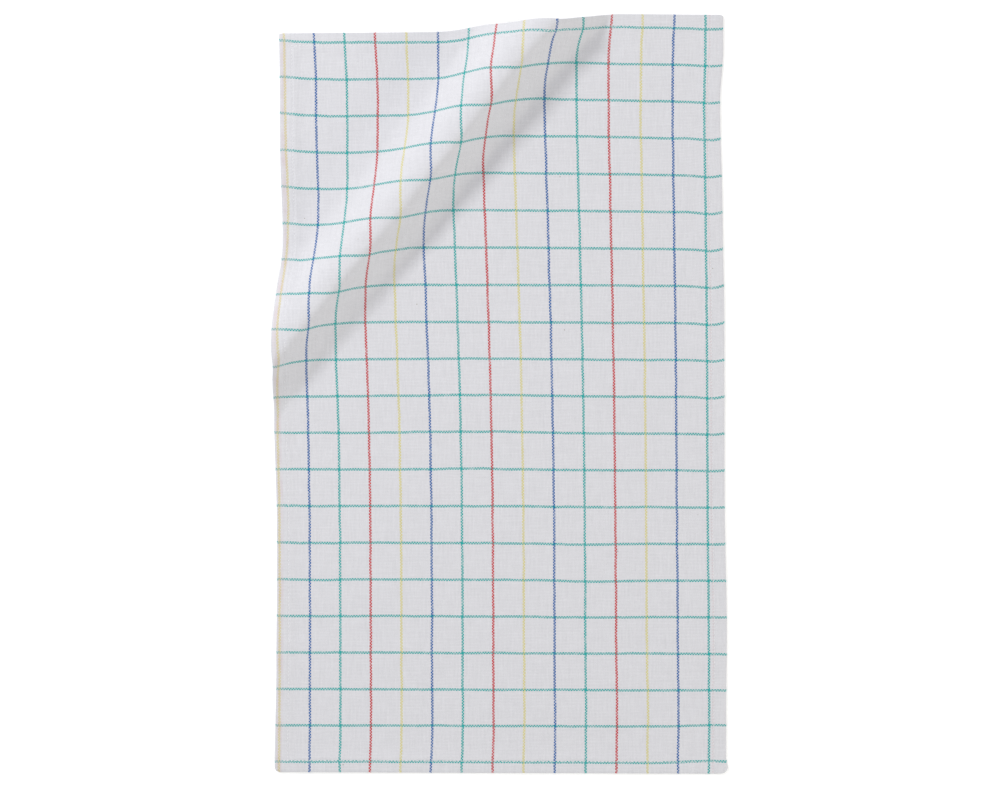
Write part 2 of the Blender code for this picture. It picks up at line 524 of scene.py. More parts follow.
@dataclass(frozen=True)
class Crease:
    """A soft ridge, or a trough if its height is negative, between two points of the cloth."""

    start: tuple[float, float]
    end: tuple[float, float]
    width: float
    height: float
    tail: float = 0.012

    def rise(self, u: Array, v: Array) -> Array:
        """Gives the crease's height.

        Args:
            u: cloth coordinate across.
            v: cloth coordinate along.

        Returns:
            The height that it adds at each point.
        """
        run_u, run_v = self.end[0] - self.start[0], self.end[1] - self.start[1]
        length = math.hypot(run_u, run_v)
        along = ((u - self.start[0]) * run_u + (v - self.start[1]) * run_v) / length
        across = ((v - self.start[1]) * run_u - (u - self.start[0]) * run_v) / length
        ends = ease(along / self.tail + 1.0) * ease((length - along) / self.tail + 1.0)
        return self.height * ends * bell(across / self.width)


@dataclass(frozen=True)
class Relief:
    """Everything that lifts the cloth by less than about two millimetres."""

    creases: tuple[Crease, ...] = (
        # The two pressed lines left from folding the towel in four.
        Crease((-0.2255, 0.0005), (0.2255, -0.0005), width=0.0260, height=0.0010),
        Crease((-0.2255, 0.0005), (0.2255, -0.0005), width=0.0014, height=0.00030),
        Crease((0.0010, -0.012), (0.0010, -0.160), width=0.0030, height=0.00042),
        Crease((0.0010, -0.160), (-0.0010, -0.300), width=0.0040, height=0.00012),
        # Short soft lines in the middle.
        Crease((0.008, -0.036), (0.088, -0.019), width=0.0040, height=0.00028),
        Crease((-0.055, -0.092), (-0.004, -0.090), width=0.0035, height=0.00022),
        Crease((-0.068, -0.055), (-0.066, -0.118), width=0.0030, height=0.00018),
        Crease((0.092, -0.060), (0.112, -0.175), width=0.0090, height=-0.00030),
        Crease((0.046, 0.228), (0.088, 0.226), width=0.0060, height=-0.00026),
        Crease((0.052, 0.168), (0.100, 0.176), width=0.0080, height=-0.00030),
        Crease((0.176, -0.045), (0.178, -0.105), width=0.0030, height=0.00020),
        # Dents and puckers along the left hem, below the fold.
        Crease((-0.218, -0.070), (-0.188, -0.048), width=0.0040, height=0.00055),
        Crease((-0.216, -0.052), (-0.192, -0.032), width=0.0035, height=-0.00040),
        Crease((-0.220, -0.090), (-0.196, -0.082), width=0.0035, height=0.00030),
        Crease((-0.212, 0.340), (-0.210, 0.110), width=0.0035, height=0.00030),
        Crease((-0.206, -0.200), (-0.150, -0.212), width=0.0060, height=0.00030),
        Crease((-0.214, -0.240), (-0.170, -0.232), width=0.0050, height=-0.00026),
        # Dents along the right hem.
        Crease((0.222, 0.040), (0.200, 0.046), width=0.0030, height=0.00040),
        Crease((0.223, 0.020), (0.203, 0.018), width=0.0026, height=-0.00035),
        Crease((0.223, 0.006), (0.204, 0.004), width=0.0026, height=0.00035),
        Crease((0.222, -0.070), (0.204, -0.078), width=0.0030, height=-0.00035),
        Crease((0.222, -0.094), (0.205, -0.099), width=0.0030, height=0.00030),
        Crease((0.205, 0.344), (0.214, 0.290), width=0.0050, height=-0.00040),
        # The lower right corner: two diagonal lines.
        Crease((0.186, -0.330), (0.220, -0.292), width=0.0050, height=0.00075),
        Crease((0.196, -0.343), (0.222, -0.318), width=0.0040, height=-0.00050),
        # Small dimples where the crest runs through the top hem.
        Crease((0.112, 0.366), (0.122, 0.342), width=0.0060, height=-0.00060),
    )
    swell: float = 0.00034
    swell_size: float = 0.055
    ripple: float = 0.00010
    ripple_size: float = 0.014
    pucker: float = 0.00016
    pucker_size: float = 0.0065
    pucker_reach: float = 0.011
    fold_swell: float = 0.0009
    fold_swell_size: float = 0.060
    full_fold_height: float = 0.012
    lowest: float = -0.00005

    def rise(self, u: Array, v: Array, from_hem: Array, on_fold: Array) -> Array:
        """Adds up the creases, the uneven swell of the cloth and the puckers along the hems.

        Args:
            u: cloth coordinate across.
            v: cloth coordinate along.
            from_hem: distance from the nearest row of stitches.
            on_fold: 1 on the raised fold, 0 where the cloth lies flat.

        Returns:
            The height that they add at each point, which can be below 0.
        """
        total = sum(crease.rise(u, v) for crease in self.creases)
        swell = uneven(u, v, self.swell_size, seed=3.7)
        ripple = uneven(u, v, self.ripple_size, seed=11.3)
        pucker = uneven(u, v, self.pucker_size, seed=23.9)
        on_swell = uneven(u, v, self.fold_swell_size, seed=31.1)
        total = total + self.swell * swell + self.ripple * ripple
        total = total + self.pucker * pucker * bell(from_hem / self.pucker_reach)
        return total + self.fold_swell * on_swell * on_fold


def uneven(u: Array, v: Array, size: float, seed: float) -> Array:
    """Soft noise over the cloth.

    Args:
        u: cloth coordinate across.
        v: cloth coordinate along.
        size: the width of its swells.
        seed: moves the pattern, so that each use differs.

    Returns:
        Values from about -1 to 1.
    """
    flat = zip(u.ravel() / size, v.ravel() / size)
    values = [noise.noise(Vector((a, b, seed))) for a, b in flat]
    return 2.0 * np.array(values).reshape(u.shape)


# -------------------------------------------------------------------------------- node building


class Graph:
    """Adds nodes to one tree, with sums written as method calls."""

    def __init__(self, tree: bpy.types.NodeTree) -> None:
        """Keeps the tree that nodes are added to."""
        self.tree = tree

    def add(self, kind: str, **settings: object) -> Node:
        """Adds one node.

        Args:
            kind: the node's type name, without the leading ShaderNode.
            settings: properties to set on it.

        Returns:
            The new node.
        """
        node = self.tree.nodes.new("ShaderNode" + kind)
        for name, value in settings.items():
            setattr(node, name, value)
        return node

    def feed(self, socket: Socket, value: object) -> None:
        """Links a socket into another one, or sets it to a plain value.

        Args:
            socket: the input that is fed.
            value: an output, a number, a vector or a colour.
        """
        if isinstance(value, bpy.types.NodeSocket):
            self.tree.links.new(value, socket)
        else:
            socket.default_value = value

    def math(self, operation: str, *values: object, clamp: bool = False) -> Socket:
        """Adds a Math node.

        Args:
            operation: Blender's name for it.
            values: sockets or numbers, in order.
            clamp: whether to keep the result between 0 and 1.

        Returns:
            Its output.
        """
        node = self.add("Math", operation=operation, use_clamp=clamp)
        for socket, value in zip(node.inputs, values):
            self.feed(socket, value)
        return node.outputs[0]

    def mix(self, factor: object, first: object, second: object, blend: str = "MIX") -> Socket:
        """Mixes two colours.

        Args:
            factor: share of the second.
            first: the first colour.
            second: the second colour.
            blend: Blender's name for the way of mixing.

        Returns:
            The mixed colour.
        """
        node = self.add("Mix", data_type="RGBA", blend_type=blend)
        self.feed(node.inputs[0], factor)
        self.feed(node.inputs[6], first)
        self.feed(node.inputs[7], second)
        return node.outputs[2]

    def choose(self, factor: object, first: object, second: object) -> Socket:
        """Mixes two plain values.

        Args:
            factor: share of the second.
            first: the first value.
            second: the second value.

        Returns:
            The mixed value.
        """
        node = self.add("Mix", data_type="FLOAT")
        self.feed(node.inputs[0], factor)
        self.feed(node.inputs[2], first)
        self.feed(node.inputs[3], second)
        return node.outputs[0]

    def window(self, value: object, middle: float, half: float, soft: float) -> Socket:
        """Makes a mask that is 1 within a band.

        Args:
            value: the distance that the band is measured on.
            middle: the band's middle.
            half: half its width.
            soft: how wide each of its soft edges is.

        Returns:
            The mask, from 0 to 1.
        """
        away = self.math("ABSOLUTE", self.math("SUBTRACT", value, middle))
        node = self.add("MapRange", interpolation_type="SMOOTHSTEP")
        self.feed(node.inputs[0], away)
        node.inputs[1].default_value = half
        node.inputs[2].default_value = half + soft
        node.inputs[3].default_value = 1.0
        node.inputs[4].default_value = 0.0
        return node.outputs[0]

    def noise(self, vector: Socket, scale: float, detail: float = 1.0) -> Node:
        """Adds a Noise Texture.

        Args:
            vector: where it is read.
            scale: its scale, per metre.
            detail: how many finer layers it has.

        Returns:
            The node.
        """
        node = self.add("TexNoise")
        self.feed(node.inputs["Vector"], vector)
        node.inputs["Scale"].default_value = scale
        node.inputs["Detail"].default_value = detail
        return node

    def stretch(self, vector: Socket, scale: tuple[float, float, float]) -> Socket:
        """Scales a vector by a different amount along each axis.

        Args:
            vector: the vector.
            scale: the amount along each axis.

        Returns:
            The scaled vector.
        """
        node = self.add("VectorMath", operation="MULTIPLY")
        self.feed(node.inputs[0], vector)
        node.inputs[1].default_value = scale
        return node.outputs[0]

    def split(self, vector: Socket) -> list[Socket]:
        """Splits a vector into its three parts."""
        node = self.add("SeparateXYZ")
        self.feed(node.inputs[0], vector)
        return list(node.outputs)

    def shaded(self, colour: object, shade: Socket) -> Socket:
        """Multiplies a colour by a plain value.

        Args:
            colour: the colour.
            shade: what each of its parts is multiplied by.

        Returns:
            The darker or lighter colour.
        """
        node = self.add("VectorMath", operation="SCALE")
        self.feed(node.inputs[0], colour)
        self.feed(node.inputs["Scale"], shade)
        return node.outputs[0]

    def bump(self, height: Socket, depth: float, strength: float = 1.0) -> Socket:
        """Turns a height into a normal.

        Args:
            height: the height, from 0 to about 1.
            depth: how deep a height of 1 is.
            strength: how much of the relief shows.

        Returns:
            The normal.
        """
        node = self.add("Bump")
        node.inputs["Strength"].default_value = strength
        node.inputs["Distance"].default_value = depth
        self.feed(node.inputs["Height"], height)
        return node.outputs[0]


class Group(Graph):
    """A named shader node group with its own inputs and outputs."""

    def __init__(self, name: str, inputs: dict[str, object], outputs: dict[str, str]) -> None:
        """Makes an empty group.

        Args:
            name: the group's name.
            inputs: a default for each input: a number, a colour of four, or None for a vector.
            outputs: Float or Color for each output.
        """
        super().__init__(bpy.data.node_groups.new(name, "ShaderNodeTree"))
        face = self.tree.interface
        for label, default in inputs.items():
            kind = "Vector" if default is None else "Color" if hasattr(default, "__len__") else "Float"
            socket = face.new_socket(label, in_out="INPUT", socket_type="NodeSocket" + kind)
            if default is not None:
                socket.default_value = default
        for label, kind in outputs.items():
            face.new_socket(label, in_out="OUTPUT", socket_type="NodeSocket" + kind)
        self.start = self.tree.nodes.new("NodeGroupInput")
        self.end = self.tree.nodes.new("NodeGroupOutput")

    def given(self, label: str) -> Socket:
        """The group's own input of that name."""
        return self.start.outputs[label]

    def result(self, label: str, value: Socket) -> None:
        """Sends a value to the group's output of that name."""
        self.tree.links.new(value, self.end.inputs[label])

    def use(self, graph: Graph, **values: object) -> Node:
        """Places this group in another tree.

        Args:
            graph: the tree that it is placed in.
            values: what feeds each input, with _ for a space in its name.

        Returns:
            The group node.
        """
        node = graph.add("Group", node_tree=self.tree)
        for label, value in values.items():
            graph.feed(node.inputs[label.replace("_", " ").title()], value)
        return node


def new_material(name: str, constants: dict[str, object]) -> tuple[bpy.types.Material, Graph, Node]:
    """Makes a material around a Principled BSDF.

    Args:
        name: the material's name.
        constants: values for the shader's own sockets, by socket name.

    Returns:
        The material, its nodes and its shader.
    """
    material = bpy.data.materials.new(name)
    material.use_nodes = True
    graph = Graph(material.node_tree)
    shader = graph.tree.nodes["Principled BSDF"]
    for label, value in constants.items():
        shader.inputs[label].default_value = value
    return material, graph, shader


@dataclass(frozen=True)
class Weave:
    """A basket weave of yarns in pairs, and the coloured lines woven into it.

    The same pair goes over one crossing pair and under the next, so a line that is two pairs wide
    shows as a zigzag, and two lines that cross make one solid block.
    """

    line_pitch_across: float = 0.03067
    line_pitch_along: float = 0.03662
    pairs_between_warp_lines: int = 23
    pairs_between_weft_lines: int = 25
    pairs_in_line: int = 2
    first_warp_line: float = 0.0046
    first_weft_line: float = 0.0115
    wander: float = 0.00130
    wander_scale: float = 42.0
    fine_wander: float = 0.00062
    fine_wander_scale: float = 380.0
    yarn_roundness: float = 0.6
    line_sharpness: float = 5.0

    @property
    def warp_pair(self) -> float:
        """Width of one pair of lengthwise yarns."""
        return self.line_pitch_across / self.pairs_between_warp_lines

    @property
    def weft_pair(self) -> float:
        """Width of one pair of crosswise yarns."""
        return self.line_pitch_along / self.pairs_between_weft_lines

    def build_pairs(self) -> Group:
        """Builds the group that tells which yarns show at each point, and how high they stand.

        Over runs from 1 in the middle of a warp float to -1 in the middle of a weft float.

        Returns:
            The group.
        """
        inputs = {"Cloth": None, "Warp Pair": self.warp_pair, "Weft Pair": self.weft_pair}
        inputs |= {"Wander": self.wander, "Fine Wander": self.fine_wander, "Back": 0.0}
        outputs = {"Warp Count": "Float", "Weft Count": "Float", "Over": "Float"}
        outputs |= {"Height": "Float", "Gap": "Float"}
        g = Group("Yarn pairs", inputs, outputs)
        place = g.split(g.given("Cloth"))
        drifts = []
        for scale, label in ((self.wander_scale, "Wander"), (self.fine_wander_scale, "Fine Wander")):
            split = g.add("SeparateColor")
            g.feed(split.inputs[0], g.noise(g.given("Cloth"), scale, 1.0).outputs["Color"])
            drifts.append((split, label))
        counts = []
        for axis, width in ((0, "Warp Pair"), (1, "Weft Pair")):
            moved = place[axis]
            for split, label in drifts:
                away = g.math("SUBTRACT", split.outputs[axis], 0.5)
                moved = g.math("MULTIPLY_ADD", away, g.given(label), moved)
            counts.append(g.math("DIVIDE", moved, g.given(width)))
        waves = [g.math("SINE", g.math("MULTIPLY", count, math.pi)) for count in counts]
        side = g.math("MULTIPLY_ADD", g.given("Back"), -2.0, 1.0)
        over = g.math("MULTIPLY", g.math("MULTIPLY", waves[0], waves[1]), side)
        twice = [g.math("SINE", g.math("MULTIPLY", count, 2.0 * math.pi)) for count in counts]
        round_by = self.yarn_roundness
        arches = [g.math("POWER", g.math("ABSOLUTE", wave), round_by) for wave in waves]
        yarns = [g.math("POWER", g.math("ABSOLUTE", wave), round_by) for wave in twice]
        warp_height = g.math("MULTIPLY", yarns[0], arches[1])
        weft_height = g.math("MULTIPLY", yarns[1], arches[0])
        height = g.choose(g.math("GREATER_THAN", over, 0.0), weft_height, warp_height)
        g.result("Warp Count", counts[0])
        g.result("Weft Count", counts[1])
        g.result("Over", over)
        g.result("Height", height)
        g.result("Gap", g.math("SUBTRACT", 1.0, height, clamp=True))
        return g

    def build_lines(self) -> Group:
        """Builds the group that colours the yarns that belong to a line.

        Spread widens the coloured floats, so that they join into one zigzag. Tint is how much of
        a line's colour shows between its floats.

        Returns:
            The group.
        """
        names = ("Yellow", "Blue", "Green", "Red")
        inputs = {"Warp Count": 0.0, "Weft Count": 0.0, "Over": 0.0, "Warp Spread": 0.2}
        inputs |= {"Warp Width": 1.6, "Weft Width": 1.6, "Strength": 1.0}
        inputs |= {"Weft Spread": 0.0, "Softness": 0.2, "Warp Tint": 0.1, "Weft Tint": 0.1}
        inputs |= {name: (0.0, 0.0, 0.0, 1.0) for name in ("Ground", *names)}
        g = Group("Check lines", inputs, {"Color": "Color"})
        every_warp = float(self.pairs_between_warp_lines)
        every_weft = float(self.pairs_between_weft_lines)
        lines = []
        for kind, every in (("Warp ", every_warp), ("Weft ", every_weft)):
            within = g.math("FLOORED_MODULO", g.given(kind + "Count"), every)
            away = g.math("ABSOLUTE", g.math("SUBTRACT", within, 0.5 * self.pairs_in_line))
            inside = g.math("SUBTRACT", g.math("MULTIPLY", g.given(kind + "Width"), 0.5), away)
            lines.append(g.math("MULTIPLY_ADD", inside, self.line_sharpness, 0.5, clamp=True))
        warp_line, weft_line = lines
        which = g.math("FLOOR", g.math("DIVIDE", g.given("Warp Count"), every_warp))
        place = g.math("FLOORED_MODULO", which, float(len(names)))
        colour = g.given(names[0])
        for index, name in enumerate(names[1:], start=1):
            colour = g.mix(g.math("GREATER_THAN", place, index - 0.5), colour, g.given(name))
        masks = []
        under = g.math("MULTIPLY", g.given("Over"), -1.0)
        kinds = (("Warp ", g.given("Over"), warp_line), ("Weft ", under, weft_line))
        for kind, towards, line in kinds:
            start = g.math("ADD", towards, g.given(kind + "Spread"))
            step = g.math("DIVIDE", start, g.given("Softness"))
            shown = g.math("MULTIPLY_ADD", step, 0.5, 0.5, clamp=True)
            tinted = g.math("MAXIMUM", shown, g.given(kind + "Tint"))
            masks.append(g.math("MULTIPLY", tinted, g.math("MULTIPLY", line, g.given("Strength"))))
        warp_on_top = g.math("GREATER_THAN", g.given("Over"), 0.0)
        free = g.math("MAXIMUM", warp_on_top, g.math("SUBTRACT", 1.0, masks[1]))
        warp_mask = g.math("MULTIPLY", masks[0], free)
        with_weft = g.mix(masks[1], g.given("Ground"), g.given("Green"))
        g.result("Color", g.mix(warp_mask, with_weft, colour))
        return g


@dataclass(frozen=True)
class UnevenYarn:
    """Uneven yarn: streaks along both yarns, patchy dye, slubs and neps. Scales are per metre."""

    yarn_scale: float = 40.0
    between_yarns: float = 7.31
    warp_seed: float = 1.0
    weft_seed: float = 30.0
    streak_scale: tuple[float, float, float] = (520.0, 60.0, 1.0)
    cloud_scale: tuple[float, float, float] = (520.0, 420.0, 1.0)
    dye_scale: float = 160.0
    dye_gain: float = 1.3
    dye_least: float = 0.36
    slub_scale: tuple[float, float, float] = (700.0, 55.0, 1.0)
    slub_starts: float = 0.70
    slub_gain: float = 8.0
    nep_scale: float = 62.0
    nep_radius: float = 0.036
    nep_share: float = 0.16

    def build(self) -> Group:
        """Builds the group.

        Returns:
            The group, which puts out the shade round 0, slubs, neps and strength of the dye.
        """
        outputs = {"Shade": "Float", "Slub": "Float", "Nep": "Float", "Dye": "Float"}
        g = Group("Uneven yarn", {"Cloth": None, "Warp Count": 0.0, "Weft Count": 0.0}, outputs)
        cloth = g.given("Cloth")
        split = g.split(g.stretch(cloth, (self.yarn_scale, self.yarn_scale, 1.0)))
        shades = []
        kinds = (("Warp Count", 0, 1, self.warp_seed), ("Weft Count", 1, 0, self.weft_seed))
        for label, axis, other, seed in kinds:
            join = g.add("CombineXYZ")
            yarn = g.math("FLOOR", g.given(label))
            g.feed(join.inputs[axis], g.math("MULTIPLY", yarn, self.between_yarns))
            g.feed(join.inputs[other], split[other])
            join.inputs[2].default_value = seed
            shades.append(g.noise(join.outputs[0], 1.0, 1.0).outputs["Fac"])
        streak = g.noise(g.stretch(cloth, self.streak_scale), 1.0, 2.0).outputs["Fac"]
        cloud = g.noise(g.stretch(cloth, self.cloud_scale), 1.0, 2.0).outputs["Fac"]
        total = g.math("ADD", g.math("ADD", shades[0], shades[1]), g.math("ADD", streak, cloud))
        # Each of the four averages a half, so half their sum less 1 averages 0.
        g.result("Shade", g.math("SUBTRACT", g.math("MULTIPLY", total, 0.5), 1.0))
        dye = g.noise(cloth, self.dye_scale, 2.0).outputs["Fac"]
        g.result("Dye", g.math("MULTIPLY_ADD", dye, self.dye_gain, self.dye_least, clamp=True))
        slub = g.noise(g.stretch(cloth, self.slub_scale), 1.0, 0.0).outputs["Fac"]
        slub = g.math("SUBTRACT", slub, self.slub_starts)
        g.result("Slub", g.math("MULTIPLY", slub, self.slub_gain, clamp=True))
        specks = g.add("TexVoronoi", feature="F1")
        g.feed(specks.inputs["Vector"], cloth)
        specks.inputs["Scale"].default_value = self.nep_scale
        rare = g.add("SeparateColor")
        g.feed(rare.inputs[0], specks.outputs["Color"])
        near = g.math("LESS_THAN", specks.outputs["Distance"], self.nep_radius)
        chosen = g.math("LESS_THAN", rare.outputs[0], self.nep_share)
        g.result("Nep", g.math("MULTIPLY", near, chosen))
        return g


@dataclass(frozen=True)
class Band:
    """A band along an edge: how far in its middle is, half its width, and its soft edges."""

    inset: float
    half: float
    soft: float


@dataclass(frozen=True)
class ShowThrough:
    """Coloured lines that show faintly through the hems: patchy, or in dots at the right edge."""

    left: Band = Band(inset=0.0042, half=0.0016, soft=0.0024)
    right: Band = Band(inset=0.0132, half=0.0006, soft=0.0007)
    top: Band = Band(inset=0.0014, half=0.0009, soft=0.0014)
    bottom: Band = Band(inset=0.0016, half=0.0009, soft=0.0014)
    patch_scale: float = 60.0
    patch_gain: float = 2.2
    patch_least: float = -0.55
    dot_pitch: float = 0.0029

    def build(self, lay: Lay) -> Group:
        """Builds the group.

        Args:
            lay: the towel's flat size.

        Returns:
            The group, which puts out one mask for each colour.
        """
        g = Group("Lines inside the hems", {"Panel": None}, {"Red": "Float", "Green": "Float"})
        panel = g.given("Panel")
        across, down, _ = g.split(panel)
        placed = (
            (across, self.left.inset, self.left),
            (across, lay.width - self.right.inset, self.right),
            (down, self.top.inset, self.top),
            (down, lay.length - self.bottom.inset, self.bottom),
        )
        masks = [g.window(value, middle, band.half, band.soft) for value, middle, band in placed]
        left, right, top, bottom = masks
        patches = g.stretch(panel, (self.patch_scale, self.patch_scale, 1.0))
        patchy = g.noise(patches, 1.0, 2.0).outputs["Fac"]
        patchy = g.math("MULTIPLY_ADD", patchy, self.patch_gain, self.patch_least, clamp=True)
        dotted = g.math("SINE", g.math("MULTIPLY", down, 2.0 * math.pi / self.dot_pitch))
        dotted = g.math("MULTIPLY_ADD", dotted, 0.5, 0.5, clamp=True)
        red = g.math("MULTIPLY", left, patchy)
        g.result("Red", g.math("MULTIPLY_ADD", right, dotted, red))
        g.result("Green", g.math("MULTIPLY", g.math("ADD", top, bottom), patchy))
        return g


@dataclass(frozen=True)
class Cotton:
    """The cloth's finish: off-white cotton with yarn-dyed lines."""

    ground: Colour = (0.738, 0.733, 0.772, 1.0)
    yellow: Colour = (0.700, 0.634, 0.268, 1.0)
    blue: Colour = (0.004, 0.108, 0.372, 1.0)
    green: Colour = (0.001, 0.385, 0.372, 1.0)
    red: Colour = (0.560, 0.010, 0.018, 1.0)
    nep: Colour = (0.420, 0.400, 0.360, 1.0)
    shade_strength: float = 0.150
    # Painted shade: how much darker the cloth is made in the hollows between yarns.
    painted_gap_shade: float = 0.27
    warp_spread: float = 0.28
    weft_spread: float = 0.10
    float_softness: float = 0.36
    warp_tint: float = 0.22
    weft_tint: float = 0.34
    warp_line_width: float = 1.80
    weft_line_width: float = 1.70
    hem_red: float = 0.20
    hem_green: float = 0.08
    red_in_tint: float = 0.60
    green_in_tint: float = 0.30
    worn: float = 0.18
    worn_pairs: float = 6.0
    slub_shade: float = 0.03
    slub_height: float = 0.6
    roughness: float = 0.84
    gap_roughness: float = 0.10
    weave_depth: float = 0.00012
    weave_strength: float = 0.8
    fuzz_depth: float = 0.00003
    fuzz_scale: float = 2600.0
    specular: float = 0.22
    sheen: float = 0.10
    sheen_roughness: float = 0.45
    yarn: UnevenYarn = UnevenYarn()
    hidden: ShowThrough = ShowThrough()

    def build(self, weave: Weave, lay: Lay) -> bpy.types.Material:
        """Builds the cloth's material.

        Args:
            weave: the yarns and their lines.
            lay: the towel's flat size.

        Returns:
            The material.
        """
        constants = {"Specular IOR Level": self.specular, "Sheen Weight": self.sheen}
        constants["Sheen Roughness"] = self.sheen_roughness
        material, g, shader = new_material("cotton_cloth", constants)
        cloth = g.add("UVMap", uv_map="weave").outputs[0]
        panel = g.add("UVMap", uv_map="panel").outputs[0]
        back = g.add("Attribute", attribute_name="back").outputs["Fac"]
        pairs = weave.build_pairs().use(g, cloth=cloth, back=back)
        counts = {"warp_count": pairs.outputs[0], "weft_count": pairs.outputs[1]}
        streaks = self.yarn.build().use(g, cloth=cloth, **counts)
        at_left_edge = g.math("LESS_THAN", pairs.outputs["Warp Count"], self.worn_pairs)
        worn = g.math("MULTIPLY_ADD", at_left_edge, -self.worn, 1.0)
        colours = {"yellow": self.yellow, "blue": self.blue, "green": self.green, "red": self.red}
        lines = weave.build_lines().use(
            g,
            over=pairs.outputs["Over"],
            ground=self.ground,
            warp_spread=self.warp_spread,
            weft_spread=self.weft_spread,
            softness=self.float_softness,
            warp_tint=self.warp_tint,
            weft_tint=self.weft_tint,
            warp_width=self.warp_line_width,
            weft_width=self.weft_line_width,
            strength=g.math("MULTIPLY", streaks.outputs["Dye"], worn),
            **counts,
            **colours,
        )
        hidden = self.hidden.build(lay).use(g, panel=panel)
        colour = g.mix(streaks.outputs["Nep"], lines.outputs["Color"], self.nep)
        red_tint = g.mix(self.red_in_tint, self.ground, self.red)
        green_tint = g.mix(self.green_in_tint, self.ground, self.green, "MULTIPLY")
        red_share = g.math("MULTIPLY", hidden.outputs["Red"], self.hem_red)
        green_share = g.math("MULTIPLY", hidden.outputs["Green"], self.hem_green)
        colour = g.mix(red_share, colour, red_tint)
        colour = g.mix(green_share, colour, green_tint)
        shade = g.math("MULTIPLY_ADD", streaks.outputs["Shade"], self.shade_strength, 1.0)
        # Painted shade: the colour is darkened where the yarns leave gaps, standing in for their
        # shadow.
        gap = g.math("MULTIPLY", pairs.outputs["Gap"], self.painted_gap_shade)
        shade = g.math("SUBTRACT", shade, gap)
        slub = streaks.outputs["Slub"]
        shade = g.math("MULTIPLY_ADD", slub, self.slub_shade, shade)
        g.feed(shader.inputs["Base Color"], g.shaded(colour, shade))
        rough = g.math("MULTIPLY_ADD", pairs.outputs["Gap"], self.gap_roughness, self.roughness)
        g.feed(shader.inputs["Roughness"], rough)
        fuzz = g.noise(cloth, self.fuzz_scale, 2.0).outputs["Fac"]
        yarn = g.math("MULTIPLY_ADD", slub, self.slub_height, pairs.outputs["Height"])
        relief = g.math("MULTIPLY_ADD", fuzz, self.fuzz_depth / self.weave_depth, yarn)
        normal = g.bump(relief, self.weave_depth, self.weave_strength)
        g.feed(shader.inputs["Normal"], normal)
        return material


@dataclass(frozen=True)
class Thread:
    """The finish of the white hem stitching: a two-ply sewing thread."""

    colour: Colour = (0.82, 0.82, 0.84, 1.0)
    ply_length: float = 0.0009
    ply_depth: float = 0.00005
    # Painted shade: how much darker the thread is made in the grooves between its plies.
    painted_ply_groove_shade: float = 0.14
    ply_gloss: float = 0.15
    roughness: float = 0.75
    specular: float = 0.3
    fuzz_scale: float = 2200.0
    fuzz_shade: float = 0.12

    def build(self) -> bpy.types.Material:
        """Builds the thread's material, whose twist follows each stitch's own length.

        Returns:
            The material.
        """
        constants = {"Specular IOR Level": self.specular}
        material, g, shader = new_material("hem_thread", constants)
        thread = g.add("UVMap", uv_map="thread").outputs[0]
        turn, length, _ = g.split(thread)
        twist = g.math("FRACT", g.math("ADD", g.math("DIVIDE", length, self.ply_length), turn))
        ply = g.math("SINE", g.math("MULTIPLY", twist, math.pi))
        fuzz = g.noise(thread, self.fuzz_scale, 2.0).outputs["Fac"]
        # Painted shade: the thread's colour is darker in the groove between its two plies.
        shade = g.math("MULTIPLY_ADD", ply, self.painted_ply_groove_shade, 1.0 - self.painted_ply_groove_shade)
        shade = g.math("MULTIPLY_ADD", g.math("SUBTRACT", fuzz, 0.5), self.fuzz_shade, shade)
        g.feed(shader.inputs["Base Color"], g.shaded(self.colour[:3], shade))
        rough = g.math("MULTIPLY_ADD", ply, -self.ply_gloss, self.roughness)
        g.feed(shader.inputs["Roughness"], rough)
        g.feed(shader.inputs["Normal"], g.bump(ply, self.ply_depth))
        return material


# ---------------------------------------------------------------------------------- the pieces


def link(name: str, points: Array, faces: list[tuple[int, ...]]) -> bpy.types.Object:
    """Makes a mesh object.

    Args:
        name: the piece's name.
        points: its points, one to a row.
        faces: the point numbers of each face.

    Returns:
        The new object, in the scene.
    """
    data = bpy.data.meshes.new(name)
    data.from_pydata(points.tolist(), [], faces)
    data.validate()
    data.shade_smooth()
    obj = bpy.data.objects.new(name, data)
    bpy.context.scene.collection.objects.link(obj)
    return obj


